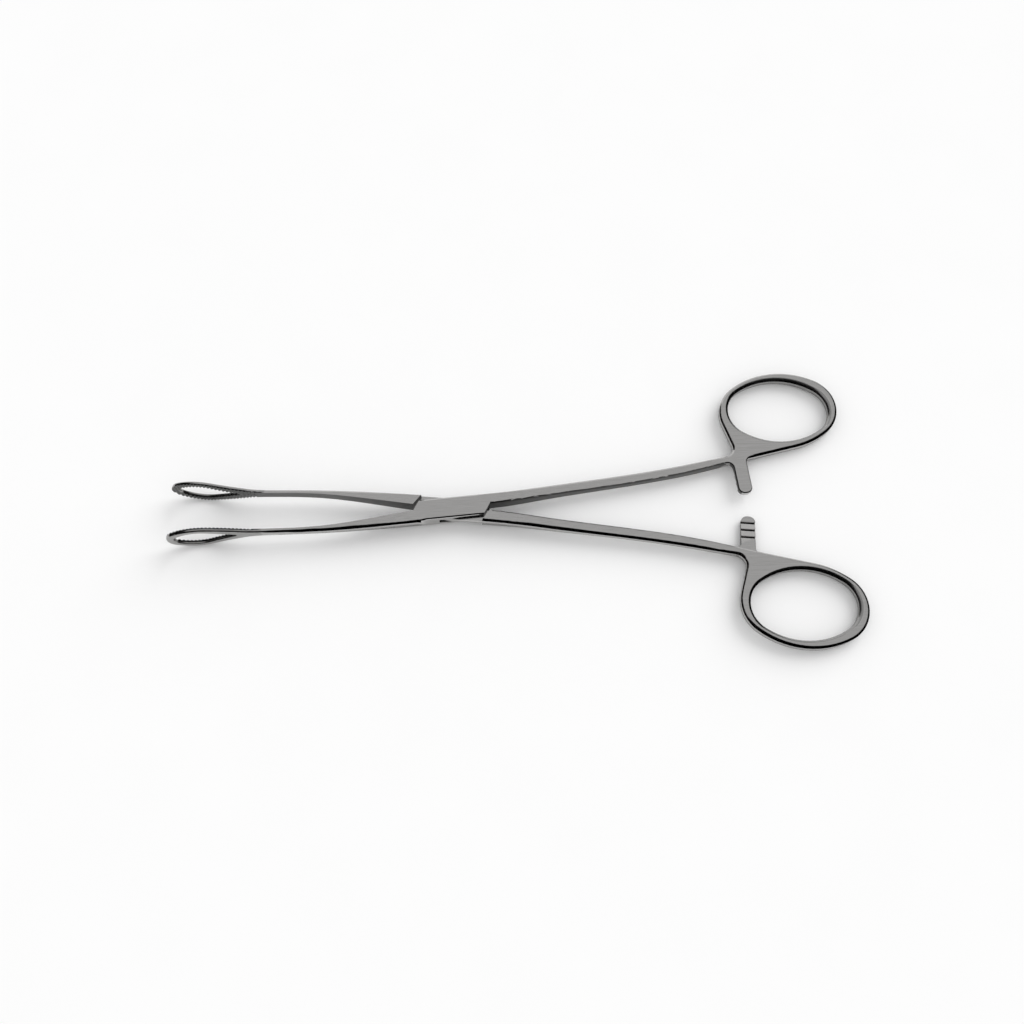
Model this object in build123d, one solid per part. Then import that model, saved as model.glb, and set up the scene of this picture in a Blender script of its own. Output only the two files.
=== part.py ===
"""Sponge holding forceps: a box-lock, ring-handled clamp with two open, serrated loop jaws.

Three pieces: the box arm, the tongue arm that passes through it, and the flush rivet that joins them.
Each arm is one forging. It is drawn closed, with the pivot at the origin, the jaw along -X, the ring
handle along +X and the jaws meeting on the plane y = 0, and is then turned to the half-open rest pose.
A size named AT or TO is a distance from the pivot. All are in millimetres and degrees.
"""

import os
from math import acos, atan2, cos, degrees, hypot, radians, sin

from build123d import *

# Overall: from the pivot to the jaw tips, and the angle between the arms at rest
JAW_REACH = 100.0
REST_OPENING = 10.28

# Lock
LOCK_WIDTH = 7.9
LOCK_HEIGHT = 6.0
LOCK_FLAT_TO = 9.0
LOCK_SHOULDER_AT = 13.6
CHEEK_HEEL_AT = 11.0
TONGUE_HEEL_AT = 4.4
TONGUE_HEIGHT = 2.1
TONGUE_CLEARANCE = 0.05
SHOULDER_CLEARANCE = 0.12
PIN_DIAMETER = 3.0
PIN_RUNNING_CLEARANCE = 0.03

# Both shanks, where the lock's height has tapered off
TAPER_AT = 28.0
TAPER_HALF_HEIGHT = 2.45

# Jaw shank, bowed away from the mid-line
JAW_GAP = 0.1
JAW_BOW = 1.93
JAW_BOW_AT = 48.0
JAW_BOW_THICKNESS = 1.5
JAW_BACK_ANGLE = 3.4
JAW_FULL_WIDTH_TO = 24.0

# Jaw loop, as lengths back from the tip
LOOP_LENGTH = 33.0
LOOP_MEETING_LENGTH = 16.0
LOOP_THICKNESS = 1.6
LOOP_HALF_WIDTH = 6.5
LOOP_WIDEST = 10.5
LOOP_TIP_RADIUS = 5.0
LOOP_SIDE_APEX = 36.0
LOOP_SIDE_LENGTH = 27.0
LOOP_RIM = 1.9
LOOP_TIP_RIM = 2.6
NECK_HALF_HEIGHT = 1.8
WINDOW_LENGTH = 22.5
WINDOW_POINT_RADIUS = 0.5
SERRATION_PITCH = 1.25
SERRATION_DEPTH = 0.35
SERRATION_WIDTH = 0.9
SERRATED_LENGTH = 31.0

# Handle shank: its inner edge's distance from the mid-line, and its width, near the lock and near the ring
SHANK_FORE_AT = 34.0
SHANK_FORE_RISE = 1.05
SHANK_FORE_WIDTH = 3.8
SHANK_REAR_AT = 88.0
SHANK_REAR_RISE = 5.1
SHANK_REAR_WIDTH = 3.3
SHANK_REAR_ANGLE = 6.0
SHANK_THINNEST_AT = 78.0
SHANK_HALF_HEIGHT = 1.75

# Finger ring, and the web that joins it to the handle
RING_CENTRE = (124.0, 26.5)
RING_TILT = 1.5
RING_END_RADIUS = 12.8
RING_HOLE_LENGTH = 37.5
RING_HOLE_WIDTH = 25.6
RING_HOLE_END_RADIUS = 10.1
RING_HOLE_TILT = -4.0
RING_END_BAND = 3.2
RING_SIDE_BAND = 2.7
RING_HALF_HEIGHT = 2.1
RING_FULL_HEIGHT_AT = 104.0
WEB_ROOT = (108.0, 8.35)
WEB_LEAVES_ANGLE = -83.0
WEB_MEETS_ANGLE = 191.0
WEB_HOLLOW_RADIUS = 4.0

# Ratchet
RATCHET_AT = 105.4
RATCHET_WIDTH = 5.1
RATCHET_REACH = 5.3
RATCHET_CLEARANCE = 0.06
RATCHET_HEIGHT = 2.0
RATCHET_CORNER_RADIUS = 2.2
RATCHET_ROOT_WIDTH = 11.6
TOOTH_PITCH = 2.7
TOOTH_DEPTH = 0.7
TOOTH_COUNT = 3
FIRST_TOOTH = 2.1

# Radii of the polished edges, and the ratchet's chamfer
OUTER_EDGE = 0.8
WINDOW_EDGE = 0.4
HANDLE_EDGE = 0.9
RING_HOLE_EDGE = 1.1
RATCHET_CHAMFER = 0.35

HALF_WIDTH = LOCK_WIDTH / 2
HALF_HEIGHT = LOCK_HEIGHT / 2
FACE = JAW_GAP / 2
RING_A = RING_HOLE_LENGTH / 2 + RING_END_BAND
RING_B = RING_HOLE_WIDTH / 2 + RING_SIDE_BAND
RING_X, RING_Y = RING_CENTRE
TIP = -JAW_REACH
WINDOW_END = TIP + LOOP_TIP_RIM + WINDOW_LENGTH

# How far a cutter or blank runs past what it cuts, and how level a face's normal is on an upright wall
BEYOND = 5.0
UPRIGHT = 0.1


def slope(angle):
    """A direction in plan, at an angle from the arm's length."""
    return Vector(cos(radians(angle)), sin(radians(angle)))


def side_arc(half_length, half_width, end_radius):
    """The flat arc that joins an oval's round ends: its radius, how far its centre lies beyond the oval's
    middle, and the angle at which it runs into an end."""
    end_centre = half_length - end_radius
    radius = (end_centre**2 + half_width**2 - end_radius**2) / (2 * (half_width - end_radius))
    return radius, radius - half_width, degrees(atan2(radius - half_width, end_centre))


def oval(half_length, half_width, end_radius, first=None, last=None):
    """An oval's four arcs, clockwise from its near end. An open outline starts at the first angle on the near
    end and stops at the last angle on the side towards the mid-line."""
    side_radius, across, joint = side_arc(half_length, half_width, end_radius)
    end_centre = half_length - end_radius
    first = 180 + joint if first is None else first
    last = joint - 180 if last is None else last
    arcs = [
        ((-end_centre, 0), end_radius, first, 180 - joint),
        ((0, -across), side_radius, 180 - joint, joint),
        ((end_centre, 0), end_radius, joint, -joint),
        ((0, across), side_radius, -joint, last),
    ]
    return [CenterArc(centre, radius, start, arc_size=stop - start) for centre, radius, start, stop in arcs]


def ring_outline():
    """The ring's outline, from the hollow behind the handle round to the web."""
    place = Pos(RING_X, RING_Y) * Rot(0, 0, RING_TILT)
    return [place * arc for arc in oval(RING_A, RING_B, RING_END_RADIUS, WEB_MEETS_ANGLE, WEB_LEAVES_ANGLE)]


def crossing(start, along, other, other_along):
    """Where two lines in plan cross, each given by a point and a direction."""
    gap = other - start
    scale = gap.cross(other_along).Z / along.cross(other_along).Z
    return start + along * scale


def gripping_line():
    """The jaw's inner line in plan: straight where the jaws meet, then bowed back to the lock."""
    meeting_end = TIP + LOOP_MEETING_LENGTH
    meeting = Line((TIP - BEYOND, -FACE), (meeting_end, -FACE))
    bow = Spline(
        (meeting_end, -FACE), (-JAW_BOW_AT, -JAW_BOW), (-LOCK_SHOULDER_AT, -FACE),
        tangents=[slope(0), slope(JAW_BACK_ANGLE)],
    )
    return [meeting, bow]


def jaw_back():
    """The jaw's outer line in plan, from the lock to the tip."""
    loop_back = -FACE - LOOP_THICKNESS
    meeting_end = TIP + LOOP_MEETING_LENGTH
    bow = Spline(
        (-JAW_FULL_WIDTH_TO, -HALF_WIDTH), (-JAW_BOW_AT, -JAW_BOW - JAW_BOW_THICKNESS), (meeting_end, loop_back),
        tangents=[slope(180), slope(180)],
    )
    return [bow, Line((meeting_end, loop_back), (TIP - BEYOND, loop_back))]


def handle_outside():
    """The handle's outer line from the lock, the hollow behind it, and the ring round to its web."""
    rear = Vector(SHANK_REAR_AT, SHANK_REAR_RISE + SHANK_REAR_WIDTH)
    shank = Spline(
        (LOCK_SHOULDER_AT, HALF_WIDTH), (SHANK_FORE_AT, SHANK_FORE_RISE + SHANK_FORE_WIDTH), rear,
        tangents=[slope(0), slope(SHANK_REAR_ANGLE)],
    )
    ring = ring_outline()
    meets = ring[0] @ 0
    corner = crossing(rear, slope(SHANK_REAR_ANGLE), meets, ring[0] % 0)
    hollow = FilletPolyline(rear, corner, meets, radius=WEB_HOLLOW_RADIUS)
    return [shank, *hollow.edges(), *ring]


def handle_inside():
    """The handle's inner line, from the ring back to the lock."""
    ring_end = ring_outline()[-1]
    return Spline(
        ring_end @ 1, WEB_ROOT, (SHANK_REAR_AT, SHANK_REAR_RISE),
        (SHANK_FORE_AT, SHANK_FORE_RISE), (LOCK_SHOULDER_AT, FACE),
        tangents=[ring_end % 1, slope(180)],
    )


def plan_face(heel):
    """An arm seen from above, jaw below the mid-line and handle above it. The heel is how far along
    the arm's slanted end meets the far side of the lock."""
    near, far = (-LOCK_SHOULDER_AT, -FACE), (LOCK_SHOULDER_AT, FACE)
    jaw_side, handle_side = (-heel, HALF_WIDTH), (heel, -HALF_WIDTH)
    inner, outer = gripping_line(), jaw_back()
    outline = [
        *inner,
        Line(near, jaw_side),
        Line(jaw_side, (LOCK_SHOULDER_AT, HALF_WIDTH)),
        *handle_outside(),
        handle_inside(),
        Line(far, handle_side),
        Line(handle_side, (-JAW_FULL_WIDTH_TO, -HALF_WIDTH)),
        *outer,
        Line(outer[-1] @ 1, inner[0] @ 0),
    ]
    return make_face(Wire(outline))


def drop(half_length, half_width, end_radius, apex):
    """The upper half of a drop outline at the loop's place: an oval's end and side, as far as a line to the
    apex touches it. The half-length is what the blunt end lies from the widest place."""
    side_radius, across, joint = side_arc(half_length, half_width, end_radius)
    widest = TIP + LOOP_WIDEST
    run = apex - widest
    touch = degrees(atan2(across, run) + acos(side_radius / hypot(run, across)))
    blunt = CenterArc((widest - half_length + end_radius, 0), end_radius, 180, arc_size=-joint)
    side = CenterArc((widest, -across), side_radius, 180 - joint, arc_size=touch + joint - 180)
    return blunt, side


def side_face():
    """An arm seen from the side: the jaw loop's drop outline, the tapering shanks and the lock."""
    apex = Vector(TIP + LOOP_SIDE_APEX, 0)
    blunt, side = drop(LOOP_WIDEST, LOOP_HALF_WIDTH, LOOP_TIP_RADIUS, apex.X)
    touch = side @ 1
    side_end = touch + (apex - touch) * ((TIP + LOOP_SIDE_LENGTH - touch.X) / (apex.X - touch.X))
    neck = (TIP + LOOP_LENGTH, NECK_HALF_HEIGHT)
    waist = Spline(side_end, neck, tangents=[(apex - touch).normalized(), slope(0)])
    jaw_shank = Spline(
        neck, (-TAPER_AT, TAPER_HALF_HEIGHT), (-LOCK_FLAT_TO, HALF_HEIGHT), tangents=[slope(0), slope(0)],
    )
    handle_shank = Spline(
        (LOCK_FLAT_TO, HALF_HEIGHT), (TAPER_AT, TAPER_HALF_HEIGHT), (SHANK_THINNEST_AT, SHANK_HALF_HEIGHT),
        (RING_FULL_HEIGHT_AT, RING_HALF_HEIGHT),
        tangents=[slope(0), slope(0)],
    )
    end = RING_X + RING_A + BEYOND
    upper = [
        blunt,
        side,
        Line(touch, side_end),
        waist,
        jaw_shank,
        Line((-LOCK_FLAT_TO, HALF_HEIGHT), (LOCK_FLAT_TO, HALF_HEIGHT)),
        handle_shank,
        Line((RING_FULL_HEIGHT_AT, RING_HALF_HEIGHT), (end, RING_HALF_HEIGHT)),
        Line((end, RING_HALF_HEIGHT), (end, 0)),
    ]
    lower = [edge.mirror(Plane.XZ) for edge in upper]
    return Plane.XZ * make_face(Wire([*upper, *lower]))


def window_face():
    """The teardrop window of the jaw loop, a rim's width inside its outline."""
    blunt, side = drop(
        LOOP_WIDEST - LOOP_TIP_RIM, LOOP_HALF_WIDTH - LOOP_RIM, LOOP_TIP_RADIUS - LOOP_RIM, WINDOW_END,
    )
    upper = [blunt, side, Line(side @ 1, (WINDOW_END, 0))]
    outline = make_face(Wire([*upper, *[edge.mirror(Plane.XZ) for edge in upper]]))
    point = outline.vertices().sort_by(Axis.X)[-1]
    return Plane.XZ * fillet(point, WINDOW_POINT_RADIUS)


def prism(outline, height):
    """A solid of the given height, standing evenly on both sides of the outline's plane."""
    face = outline.face()
    return extrude(face.moved(Location(face.normal_at() * (-height / 2))), height)


def blank(heel):
    """One arm as forged and milled: the plan and side outlines crossed, with its window and ring hole."""
    tall = 2 * (LOOP_HALF_WIDTH + BEYOND)
    broad = 2 * (RING_Y + RING_B + BEYOND)
    body = prism(plan_face(heel), tall) & prism(side_face(), broad)
    hole = make_face(Wire(oval(RING_HOLE_LENGTH / 2, RING_HOLE_WIDTH / 2, RING_HOLE_END_RADIUS)))
    body -= prism(Pos(RING_X, RING_Y) * Rot(0, 0, RING_HOLE_TILT) * hole, tall)
    return body - prism(window_face(), broad)


def rim_edges(body):
    """The edges between upright walls and what covers them, as (edge, middle, wall's outward normal)."""
    walls = [face for face in body.faces() if abs(face.normal_at().Z) < UPRIGHT]
    covers = [face for face in body.faces() if abs(face.normal_at().Z) >= UPRIGHT]
    cover_edges = [edge for cover in covers for edge in cover.edges()]
    return [
        (edge, edge @ 0.5, wall.normal_at(edge @ 0.5))
        for wall in walls for edge in wall.edges()
        if any(edge.is_same(other) for other in cover_edges)
    ]


def jaw_rounded(body):
    """The blank with the jaw's back and window rounded, and its gripping edges left sharp."""
    back, window = [], []
    for edge, middle, normal in rim_edges(body):
        outward = normal.Y < -0.5
        on_jaw = middle.X < -LOCK_SHOULDER_AT
        by_window = middle.X < WINDOW_END and abs(middle.Z) < LOOP_HALF_WIDTH - LOOP_RIM
        if by_window and outward:
            window.append(edge)
        elif outward and (on_jaw or middle.Y < -HALF_WIDTH + UPRIGHT):
            back.append(edge)
    return body.fillet(OUTER_EDGE, back).fillet(WINDOW_EDGE, window)


def handle_rounded(body):
    """Both sides of the handle and the ring, then the finger side of the ring, made comfortable."""
    near_hole = RING_A - RING_END_BAND / 2
    hole, outside = [], []
    for edge, middle, _ in rim_edges(body):
        from_centre = hypot(middle.X - RING_X, (middle.Y - RING_Y) * RING_A / RING_B)
        if from_centre < near_hole:
            hole.append(edge)
        elif from_centre < RING_A + BEYOND and middle.X > RATCHET_AT:
            outside.append(edge)
    return body.fillet(HANDLE_EDGE, outside).fillet(RING_HOLE_EDGE, hole)


def passage(shoulder, heel, clearance, run):
    """The slanted band that one arm leaves clear for the other at the lock, as an outline in plan."""
    along = (heel - shoulder).normalized()
    aside = Vector(-along.Y, along.X) * clearance
    low = shoulder + aside - along * run
    high = heel + aside + along * run
    return make_face(Polyline(low, high, -low, -high, close=True))


def slot():
    """The passage between the box arm's cheeks, slanted as the tongue's heels are."""
    shoulder = Vector(-LOCK_SHOULDER_AT, FACE)
    heel = Vector(-TONGUE_HEEL_AT, -HALF_WIDTH)
    band = passage(shoulder, heel, -SHOULDER_CLEARANCE, LOCK_SHOULDER_AT)
    return prism(band, TONGUE_HEIGHT + 2 * TONGUE_CLEARANCE)


def cheek_space():
    """What the tongue arm loses above and below its tongue, so that the cheeks fit between its shoulders."""
    shoulder = Vector(-LOCK_SHOULDER_AT, -FACE)
    heel = Vector(-CHEEK_HEEL_AT, HALF_WIDTH)
    band = passage(shoulder, heel, SHOULDER_CLEARANCE, HALF_WIDTH)
    return prism(band, LOCK_HEIGHT + BEYOND) - prism(band, TONGUE_HEIGHT)


def web_line(x):
    """The handle's inner line beside the ratchet, taken as straight, at a distance from the pivot."""
    root_x, root_y = WEB_ROOT
    return root_y + (x - root_x) * (root_y - SHANK_REAR_RISE) / (root_x - SHANK_REAR_AT)


def ratchet():
    """The catch on the box arm's handle: a flat bar with a rounded tip, square teeth on its underside."""
    left, right = RATCHET_AT - RATCHET_WIDTH / 2, RATCHET_AT + RATCHET_WIDTH / 2
    corners = [
        (left, web_line(left)), (left, -RATCHET_REACH), (right, -RATCHET_REACH), (right, web_line(right)),
    ]
    root_left, root_right = RATCHET_AT - RATCHET_ROOT_WIDTH / 2, RATCHET_AT + RATCHET_ROOT_WIDTH / 2
    left_root, right_root = (root_left, web_line(root_left)), (root_right, web_line(root_right))
    sunk = [(x, y + HANDLE_EDGE) for x, y in (right_root, left_root)]
    outline = make_face(Wire([
        *FilletPolyline(left_root, *corners, right_root, radius=RATCHET_CORNER_RADIUS).edges(),
        *Polyline(right_root, *sunk, left_root).edges(),
    ]))
    bar = extrude(Pos(0, 0, RATCHET_CLEARANCE) * outline, RATCHET_HEIGHT - RATCHET_CLEARANCE)
    top = bar.faces().sort_by(Axis.Z)[-1]
    middles = [(edge, edge @ 0.5) for edge in top.edges()]
    free = [edge for edge, middle in middles if middle.Y < web_line(middle.X) - UPRIGHT]
    bar = bar.chamfer(RATCHET_CHAMFER, None, free)
    for index in range(TOOTH_COUNT):
        steep = -RATCHET_REACH + FIRST_TOOTH + index * TOOTH_PITCH
        notch = make_face(Polyline(
            (steep, RATCHET_CLEARANCE), (steep, RATCHET_CLEARANCE + TOOTH_DEPTH),
            (steep + TOOTH_PITCH, RATCHET_CLEARANCE), close=True,
        ))
        bar -= Pos(RATCHET_AT, 0, 0) * prism(Plane.YZ * notch, RATCHET_WIDTH + 2 * BEYOND)
    return bar


def serrations():
    """The grooves across a jaw loop's gripping face, square to it all along."""
    half = SERRATION_WIDTH / 2
    groove = prism(
        make_face(Polyline((-half, 0), (half, 0), (0, -SERRATION_DEPTH), close=True)),
        2 * (LOOP_HALF_WIDTH + BEYOND),
    )
    line = Wire(gripping_line())
    grooves = []
    for index in range(int(SERRATED_LENGTH / SERRATION_PITCH)):
        along = BEYOND + (index + 0.5) * SERRATION_PITCH
        place = line.position_at(along, PositionMode.LENGTH)
        turn = line.tangent_angle_at(along, PositionMode.LENGTH)
        grooves.append(Location(place, (0, 0, turn)) * groove)
    return grooves


def arm(heel):
    """A finished arm in the closed pose, before its lock is cut."""
    body = handle_rounded(jaw_rounded(blank(heel)))
    body += ratchet()
    return body - serrations()


def bore(diameter):
    """The pivot hole."""
    return Cylinder(diameter / 2, LOCK_HEIGHT + BEYOND)


def placed(body, turn):
    """A body turned from the closed pose to its rest pose and lifted onto the lock's underside."""
    return Pos(0, 0, HALF_HEIGHT) * Rot(0, 0, turn) * body


def main():
    box_arm = arm(CHEEK_HEEL_AT) - slot() - bore(PIN_DIAMETER)
    tongue_arm = Rot(180, 0, 0) * arm(TONGUE_HEEL_AT)
    tongue_arm = tongue_arm - cheek_space() - bore(PIN_DIAMETER + 2 * PIN_RUNNING_CLEARANCE)
    nodes = {
        "box_arm": placed(box_arm, REST_OPENING / 2),
        "tongue_arm": placed(tongue_arm, -REST_OPENING / 2),
        "pivot_rivet": placed(Cylinder(PIN_DIAMETER / 2, LOCK_HEIGHT), 0),
    }
    os.makedirs("parts", exist_ok=True)
    for name, body in nodes.items():
        export_step(body, f"parts/{name}.step")


if __name__ == "__main__":
    main()
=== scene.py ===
"""Sponge holding forceps in satin-finished stainless steel, laid on a white sweep under soft light.

Each arm is shown as a welded, smooth-shaded copy of its CAD node, with the node's shape. Its normals are
set so that the milled flats stay flat, and the hand-polished sides shade as fully rounded ones.
"""

import math

import bmesh
import bpy
from mathutils import Matrix, Vector


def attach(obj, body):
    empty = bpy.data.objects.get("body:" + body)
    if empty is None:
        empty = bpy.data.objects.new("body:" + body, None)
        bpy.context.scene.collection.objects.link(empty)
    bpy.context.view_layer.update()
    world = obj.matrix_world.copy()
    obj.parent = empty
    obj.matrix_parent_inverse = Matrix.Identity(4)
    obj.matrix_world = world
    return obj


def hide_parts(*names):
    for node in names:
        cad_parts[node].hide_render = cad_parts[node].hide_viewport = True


MM = 0.001
UP = Vector((0, 0, 1))

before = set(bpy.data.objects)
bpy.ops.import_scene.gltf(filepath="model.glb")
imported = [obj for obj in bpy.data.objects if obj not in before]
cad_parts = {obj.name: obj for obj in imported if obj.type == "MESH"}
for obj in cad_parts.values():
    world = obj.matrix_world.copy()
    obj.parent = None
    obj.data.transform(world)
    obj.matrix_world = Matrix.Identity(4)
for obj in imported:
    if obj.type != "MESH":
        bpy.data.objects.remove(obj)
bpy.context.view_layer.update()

# Welding and smoothing
WELD = 0.001 * MM
SHARPEST_SMOOTH_EDGE = math.radians(32)

# How far each arm is turned from the closed mid-line at rest, and the places along it from the pivot: the
# height of its middle, the flat and the tapered end of the lock, the jaw's neck, the ratchet and the ring
REST_HALF_ANGLE = math.radians(5.14)
MID_HEIGHT = 3.0 * MM
LOCK_FLAT = 9.5 * MM
LOCK_END = 14.0 * MM
NECK_AT = 67.0 * MM
RATCHET_START = 100.0 * MM
RATCHET_ROOT = 7.3 * MM
RING_CENTRE = Vector((124.0, 26.5)) * MM

# Half the height in mm of the handle shank and ring, and of the jaw shank, by mm from the pivot
HALF_HEIGHTS = [(9, 3.0), (28, 2.45), (52, 2.0), (78, 1.75), (104, 2.1), (150, 2.1)]

# The hand finish and painted shade. A face is turned a way when more than FACING of its normal points
# there, and is a flat top or underside when less than FLAT of its normal is level. A fully marked face
# gets 1, the most dull finish and painted shade. The normals at the gripping faces' rims are rolled over
# by RIM_ROLL.
FACING = 0.5
FLAT = 0.2
# The share of dull finish and of painted shade on the rest of the loop, and in the ring's hole
LOOP_DULLNESS_AND_SHADE = 0.3
HOLE_DULLNESS_AND_SHADE = 0.4
RIM_ROLL = Vector((0, -1, 0))

# How far a polished side's normal leans up, as its Z, by how far up the side it is, from -1 to 1
LEANS = [(-1, -1), (-0.55, -0.3), (0.55, 0.75), (0.95, 0.9), (0.985, 0.95), (1, 1)]

# What the instrument lies on: the under edges of the loops, and the undersides of the rings
LOOP_CONTACT = Vector((-90, 0, -3.56)) * MM
RING_CONTACT = Vector((146, 0, 0.9)) * MM
FLOOR_SIZE = 3.0

# Camera, from the photograph: place and angles in the part's frame, and focal length in the photo's pixels
PHOTO_SIZE = 1024
CAMERA_PLACE = Vector((13.47, -135.26, 327.3)) * MM
CAMERA_AZIMUTH = math.radians(-3.371)
CAMERA_ELEVATION = math.radians(67.5)
CAMERA_ROLL = math.radians(2.273)
FOCAL_PIXELS = 987.06
SENSOR = 36.0
CAMERA_REACH = (0.01, 20.0)

# Light: the broad key's direction, spread and strength, the room's, and what the scrim shows the top faces
KEY_FROM = Vector((0.62, 0.55, 0.5))
KEY_BREADTH = math.radians(50)
KEY_STRENGTH = 1.55
ROOM_LIGHT = 0.75
SCRIM_LIGHT = 0.69


def linear(hex_colour):
    """An sRGB hex colour as linear RGBA."""
    parts = [int(hex_colour[i:i + 2], 16) / 255 for i in (1, 3, 5)]
    return [p / 12.92 if p <= 0.04045 else ((p + 0.055) / 1.055) ** 2.4 for p in parts] + [1.0]


def add(tree, kind, settings=None, links=None):
    """Adds a node. Settings are attributes or input values by name, and links join its inputs, by name or
    number, to other nodes' outputs."""
    node = tree.nodes.new(kind)
    for name, value in (settings or {}).items():
        if name in node.inputs:
            node.inputs[name].default_value = value
        else:
            setattr(node, name, value)
    for name, output in (links or {}).items():
        tree.links.new(output, node.inputs[name])
    return node


def new_material(name):
    """An empty node material with its output node."""
    material = bpy.data.materials.new(name)
    material.use_nodes = True
    material.node_tree.nodes.clear()
    return material, material.node_tree, add(material.node_tree, "ShaderNodeOutputMaterial")


def satin_stainless_steel():
    """Martensitic stainless steel, finished on a belt grinder along its length and satin polished: a
    neutral grey metal whose highlights are soft and drawn out a little across the grain, with hairline
    scratches that run with the arm. Where its face attribute for dull finish and painted shade is above 0,
    it is duller, and darker with painted shade."""
    # The scratches are drawn coarser than the real ones, which are too fine to show
    grain_width, grain_run, scratch_depth = 0.12 * MM, 9.0 * MM, 0.02 * MM
    haze_size = 14.0 * MM
    most_polished, least_polished, ground_adds = 0.12, 0.18, 0.2
    # The colour sockets of a Mix node, which share their names with its others
    first_colour, second_colour, mixed_colour = 6, 7, 2
    material, tree, output = new_material("satin_stainless_steel")
    place = add(tree, "ShaderNodeTexCoord").outputs["Object"]
    stretched = add(tree, "ShaderNodeMapping",
                    {"Scale": (1 / grain_run, 1 / grain_width, 1 / grain_width)}, {"Vector": place})
    grain = add(tree, "ShaderNodeTexNoise", {"Scale": 1.0, "Detail": 3.0, "Roughness": 0.6},
                {"Vector": stretched.outputs["Vector"]})
    haze = add(tree, "ShaderNodeTexNoise", {"Scale": 1 / haze_size, "Detail": 2.0}, {"Vector": place})
    roughness = add(tree, "ShaderNodeMapRange",
                    {"From Min": 0.3, "From Max": 0.7, "To Min": most_polished, "To Max": least_polished},
                    {"Value": haze.outputs["Fac"]})
    colour = add(tree, "ShaderNodeValToRGB", {}, {"Fac": grain.outputs["Fac"]})
    colour.color_ramp.elements[0].position = 0.25
    colour.color_ramp.elements[0].color = linear("#A8A7A6")
    colour.color_ramp.elements[1].position = 0.75
    colour.color_ramp.elements[1].color = linear("#BDBCBB")
    bump = add(tree, "ShaderNodeBump", {"Strength": 0.10, "Distance": scratch_depth},
               {"Height": grain.outputs["Fac"]})
    dull_and_shaded = add(tree, "ShaderNodeAttribute", {"attribute_name": "dull_and_shaded"})
    # Painted shade: marked faces are mixed towards a dark grey that stands in for shade, not for a darker
    # steel
    grain_and_painted_shade = add(tree, "ShaderNodeMix", {"data_type": "RGBA"},
               {"Factor": dull_and_shaded.outputs["Fac"], first_colour: colour.outputs["Color"]})
    grain_and_painted_shade.inputs[second_colour].default_value = linear("#5F5F5E")
    sheen = add(tree, "ShaderNodeMath", {"operation": "MULTIPLY_ADD"},
                {0: dull_and_shaded.outputs["Fac"], 2: roughness.outputs["Result"]})
    sheen.inputs[1].default_value = ground_adds
    steel = add(tree, "ShaderNodeBsdfPrincipled", {"Metallic": 1.0},
                {"Base Color": grain_and_painted_shade.outputs[mixed_colour], "Roughness": sheen.outputs["Value"],
                 "Normal": bump.outputs["Normal"]})
    tree.links.new(steel.outputs["BSDF"], output.inputs["Surface"])
    return material


def matt_white_paper():
    """Uncoated sweep paper: matt, and a little uneven in its white."""
    patch_size = 30.0 * MM
    material, tree, output = new_material("matt_white_paper")
    place = add(tree, "ShaderNodeTexCoord").outputs["Object"]
    patches = add(tree, "ShaderNodeTexNoise", {"Scale": 1 / patch_size, "Detail": 2.0}, {"Vector": place})
    colour = add(tree, "ShaderNodeValToRGB", {}, {"Fac": patches.outputs["Fac"]})
    colour.color_ramp.elements[0].color = linear("#FCFCFC")
    colour.color_ramp.elements[1].color = linear("#FEFEFE")
    paper = add(tree, "ShaderNodeBsdfDiffuse", {}, {"Color": colour.outputs["Color"]})
    tree.links.new(paper.outputs["BSDF"], output.inputs["Surface"])
    return material


def along_arm(vector, side):
    """A vector in an arm's own axes: X along the closed arm, and Y away from the mid-line on the handle's
    side."""
    turned = Matrix.Rotation(-side * REST_HALF_ANGLE, 3, "Z") @ vector
    return Vector((turned.x, turned.y * side, turned.z))


def between(known, value):
    """What a table of (value, result) pairs gives for a value, in a straight line from pair to pair."""
    for (start, low), (stop, high) in zip(known, known[1:]):
        if value <= stop:
            return low + (high - low) * max(value - start, 0) / (stop - start)
    return high


def is_on_ring(place):
    """Whether a place on an arm is on its finger ring or on the web that carries it."""
    return place.x > RATCHET_START and place.y > RATCHET_ROOT


def dullness_and_painted_shade(place, facing):
    """How much duller finish and painted shade a face gets: all of it on the gripping face, on the walls of
    the shanks that are turned to the other arm, on the lock's slanted ends and down the ratchet's sides,
    some on the rest of the loop and in the ring's hole, and none elsewhere; the shade darkens the colour."""
    if place.x < -NECK_AT:
        return 1.0 if facing.y > FACING else LOOP_DULLNESS_AND_SHADE
    if is_on_ring(place):
        to_centre = (RING_CENTRE - place.xy).normalized()
        return HOLE_DULLNESS_AND_SHADE if facing.xy.dot(to_centre) > FLAT else 0.0
    if place.x > RATCHET_START:
        return 1.0 if abs(facing.x) > FACING else 0.0
    inward = facing.y if place.x < 0 else -facing.y
    return 1.0 if abs(place.x) > LOCK_FLAT and max(inward, facing.x) > FACING else 0.0


def keeps_its_normal(place, normal):
    """Whether a place shades as its shape does: tops and undersides, the lock's flats and the ratchet."""
    on_ratchet = place.x > RATCHET_START and not is_on_ring(place)
    return on_ratchet or abs(place.x) < LOCK_FLAT or normal.xy.length < FLAT


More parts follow.
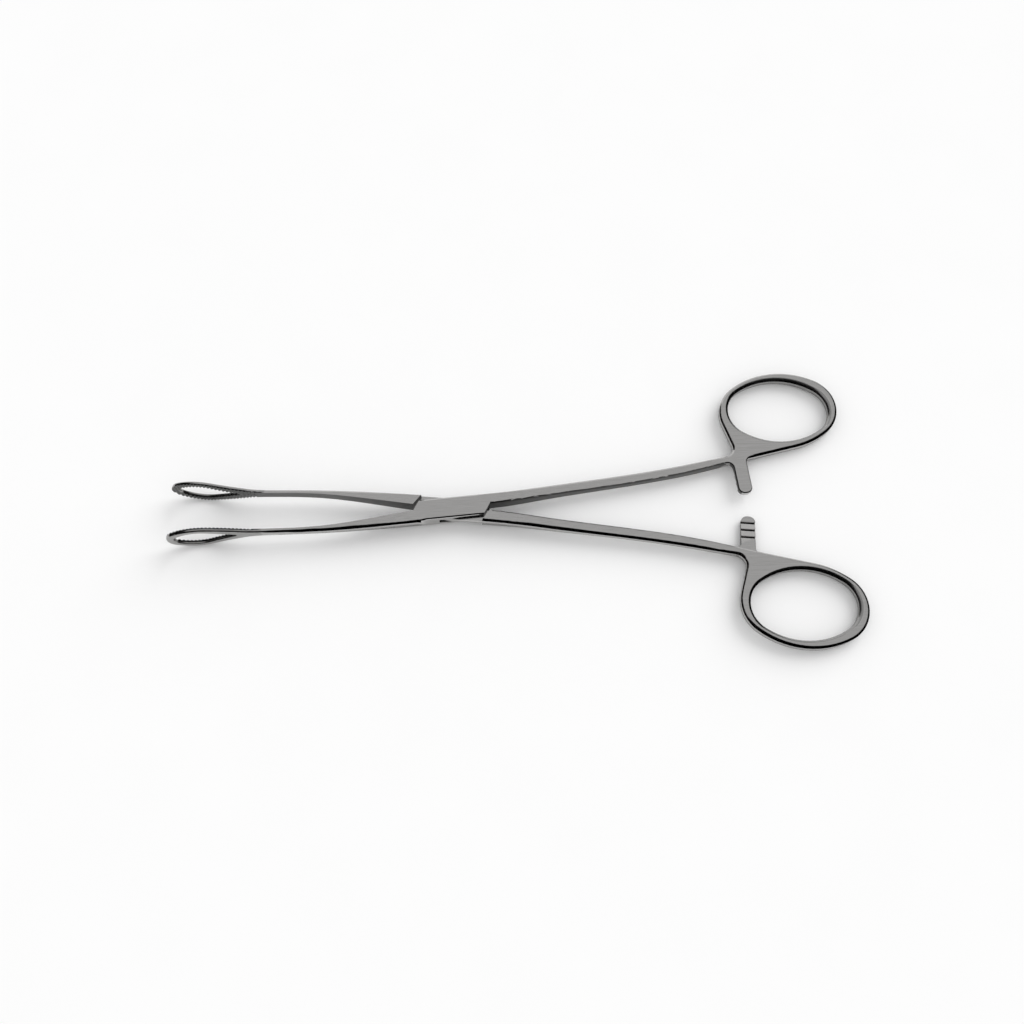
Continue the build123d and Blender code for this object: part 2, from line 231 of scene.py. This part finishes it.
def polished_normal(point, normal, side, is_wall, at_grip):
    """The normal at a corner of a face, as hand polishing leaves it: rounded on the backs, the ring and
    the handle's outside, crisp at the shank walls turned to the other arm, and rolled over at the gripping
    face's rims."""
    place = along_arm(point, side)
    if place.x < -NECK_AT:
        is_rim = at_grip and along_arm(normal, side).y < FACING
        return (normal + RIM_ROLL).normalized() if is_rim else normal
    if keeps_its_normal(place, normal):
        return normal
    level = Vector((normal.x, normal.y, 0)).normalized()
    across = along_arm(level, side).y
    by_lock = abs(place.x) < LOCK_END
    if across * place.x < 0 and not is_on_ring(place):
        if by_lock or abs(across) < FACING:
            return normal
        return level if is_wall else UP * math.copysign(1, normal.z)
    if by_lock and abs(across) < FACING:
        return normal
    half_height = between(HALF_HEIGHTS, abs(place.x) / MM) * MM
    lean = between(LEANS, (point.z - MID_HEIGHT) / half_height)
    return level * math.sqrt(1 - lean * lean) + UP * lean


def hand_finish_and_painted_shade(mesh, side):
    """Gives an arm's corners their polished normals, and its faces their duller finish and painted shade.
    """
    # Each face's share of dull finish and of painted shade, which darkens its colour
    dull_and_shaded = mesh.attributes.new("dull_and_shaded", "FLOAT", "FACE")
    grip_points = set()
    for face in mesh.polygons:
        place, facing = along_arm(face.center, side), along_arm(face.normal, side)
        dull_and_shaded.data[face.index].value = dullness_and_painted_shade(place, facing)
        if place.x < -NECK_AT and facing.y > FACING:
            grip_points.update(face.vertices)
    normals = [None] * len(mesh.loops)
    for face in mesh.polygons:
        is_wall = abs(along_arm(face.normal, side).y) > FACING
        for corner, vertex in zip(face.loop_indices, face.vertices):
            point, normal = mesh.vertices[vertex].co, mesh.corner_normals[corner].vector
            normals[corner] = polished_normal(point, normal, side, is_wall, vertex in grip_points)
    mesh.normals_split_custom_set(normals)


def polished(node, body, material, side=0):
    """A welded copy of a CAD node, smooth except at its real corners, which then stands for the node. The
    side is 1 or -1 for an arm, as its handle lies at +Y or -Y, and 0 for the rivet, which isn't hand
    finished."""
    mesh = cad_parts[node].data.copy()
    mesh.materials.clear()
    mesh.materials.append(material)
    work = bmesh.new()
    work.from_mesh(mesh)
    bmesh.ops.remove_doubles(work, verts=work.verts, dist=WELD)
    work.normal_update()
    for face in work.faces:
        face.smooth = True
    for edge in work.edges:
        if len(edge.link_faces) == 2:
            edge.smooth = edge.calc_face_angle() < SHARPEST_SMOOTH_EDGE
    work.to_mesh(mesh)
    work.free()
    piece = bpy.data.objects.new(node + "_steel", mesh)
    bpy.context.scene.collection.objects.link(piece)
    normals = piece.modifiers.new("even_normals", "WEIGHTED_NORMAL")
    normals.keep_sharp = True
    normals.weight = 100  # the highest, so that the large flats lead
    depsgraph = bpy.context.evaluated_depsgraph_get()
    piece.data = bpy.data.meshes.new_from_object(piece.evaluated_get(depsgraph))
    piece.modifiers.clear()
    if side:
        hand_finish_and_painted_shade(piece.data, side)
    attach(piece, body)
    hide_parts(node)


def floor(material):
    """The sweep that the instrument lies on, tipped a little so that it meets both loops and rings."""
    mesh = bpy.data.meshes.new("sweep")
    rise = (RING_CONTACT.z - LOOP_CONTACT.z) / (RING_CONTACT.x - LOOP_CONTACT.x)
    half = FLOOR_SIZE / 2
    corners = [
        (x, y, LOOP_CONTACT.z + rise * (x - LOOP_CONTACT.x))
        for x, y in ((-half, -half), (half, -half), (half, half), (-half, half))
    ]
    mesh.from_pydata(corners, [], [(0, 1, 2, 3)])
    mesh.materials.append(material)
    sweep = bpy.data.objects.new("sweep", mesh)
    bpy.context.scene.collection.objects.link(sweep)


def camera():
    """The photograph's view of the instrument."""
    cos_e, sin_e = math.cos(CAMERA_ELEVATION), math.sin(CAMERA_ELEVATION)
    forward = Vector((-math.sin(CAMERA_AZIMUTH) * cos_e, math.cos(CAMERA_AZIMUTH) * cos_e, -sin_e))
    level = Vector((math.cos(CAMERA_AZIMUTH), math.sin(CAMERA_AZIMUTH), 0))
    upright = level.cross(forward)
    right = level * math.cos(CAMERA_ROLL) + upright * math.sin(CAMERA_ROLL)
    up = upright * math.cos(CAMERA_ROLL) - level * math.sin(CAMERA_ROLL)
    data = bpy.data.cameras.new("photo_view")
    data.sensor_width = SENSOR
    data.lens = FOCAL_PIXELS / PHOTO_SIZE * SENSOR
    data.clip_start, data.clip_end = CAMERA_REACH
    item = bpy.data.objects.new("photo_view", data)
    turn = Matrix((right, up, -forward)).transposed().to_4x4()
    item.matrix_world = Matrix.Translation(CAMERA_PLACE) @ turn
    bpy.context.scene.collection.objects.link(item)
    bpy.context.scene.camera = item


def window_light():
    """Broad, even light from the right and behind, kept out of the metal, which mirrors the cards."""
    data = bpy.data.lights.new("window_light", "SUN")
    data.angle = KEY_BREADTH
    data.energy = KEY_STRENGTH
    item = bpy.data.objects.new("window_light", data)
    item.rotation_euler = KEY_FROM.to_track_quat("Z", "Y").to_euler()
    item.visible_glossy = False
    bpy.context.scene.collection.objects.link(item)


def studio():
    """The window light, and the white surroundings that the metal mirrors."""
    window_light()
    world = bpy.data.worlds.new("studio")
    bpy.context.scene.world = world
    world.use_nodes = True
    tree = world.node_tree
    tree.nodes.clear()
    rays = add(tree, "ShaderNodeLightPath").outputs
    seen = add(tree, "ShaderNodeMath", {"operation": "MAXIMUM"},
               {0: rays["Is Camera Ray"], 1: rays["Is Transmission Ray"]})
    mirrored = add(tree, "ShaderNodeMath", {"operation": "MAXIMUM"},
                   {0: seen.outputs["Value"], 1: rays["Is Glossy Ray"]})
    room = add(tree, "ShaderNodeBackground", {"Color": linear("#FFFFFF"), "Strength": ROOM_LIGHT})
    backdrop = add(tree, "ShaderNodeBackground", {"Color": linear("#FFFFFF"), "Strength": 1.0})
    mix = add(tree, "ShaderNodeMixShader", {},
              {"Fac": mirrored.outputs["Value"], 1: room.outputs["Background"],
               2: backdrop.outputs["Background"]})
    add(tree, "ShaderNodeOutputWorld", {}, {"Surface": mix.outputs["Shader"]})


def card(name, corners, brightness):
    """A plain card at the edge of the studio that only the metal's reflections see."""
    mesh = bpy.data.meshes.new(name)
    mesh.from_pydata(corners, [], [(0, 1, 2, 3)])
    material, tree, output = new_material(name)
    face = add(tree, "ShaderNodeEmission", {"Color": linear("#FFFFFF"), "Strength": brightness})
    tree.links.new(face.outputs["Emission"], output.inputs["Surface"])
    mesh.materials.append(material)
    item = bpy.data.objects.new(name, mesh)
    bpy.context.scene.collection.objects.link(item)
    item.visible_camera = False
    item.visible_diffuse = False
    item.visible_shadow = False
    item.visible_transmission = False


def studio_cards():
    """A grey scrim overhead and behind, and black velvet that slopes to the floor on its other sides."""
    left, right, near, far, top = -0.75, 0.75, -0.25, 1.3, 1.1
    front_half_width, slope = 2.0, 2.0
    scrim = [(left, near, top), (right, near, top), (right, far, top), (left, far, top)]
    card("grey_scrim", scrim, SCRIM_LIGHT)
    front = [(-front_half_width, near, top), (front_half_width, near, top),
             (front_half_width, -far, 0), (-front_half_width, -far, 0)]
    card("black_front", front, 0.0)
    for name, edge in (("black_left", left), ("black_right", right)):
        foot = edge * slope
        card(name, [(edge, -far, top), (edge, far, top), (foot, far, 0), (foot, -far, 0)], 0.0)


steel = satin_stainless_steel()
polished("box_arm", "box_half", steel, side=1)
polished("pivot_rivet", "box_half", steel)
polished("tongue_arm", "tongue_half", steel, side=-1)
floor(matt_white_paper())
camera()
studio()
studio_cards()
bpy.context.scene.view_settings.view_transform = "Standard"
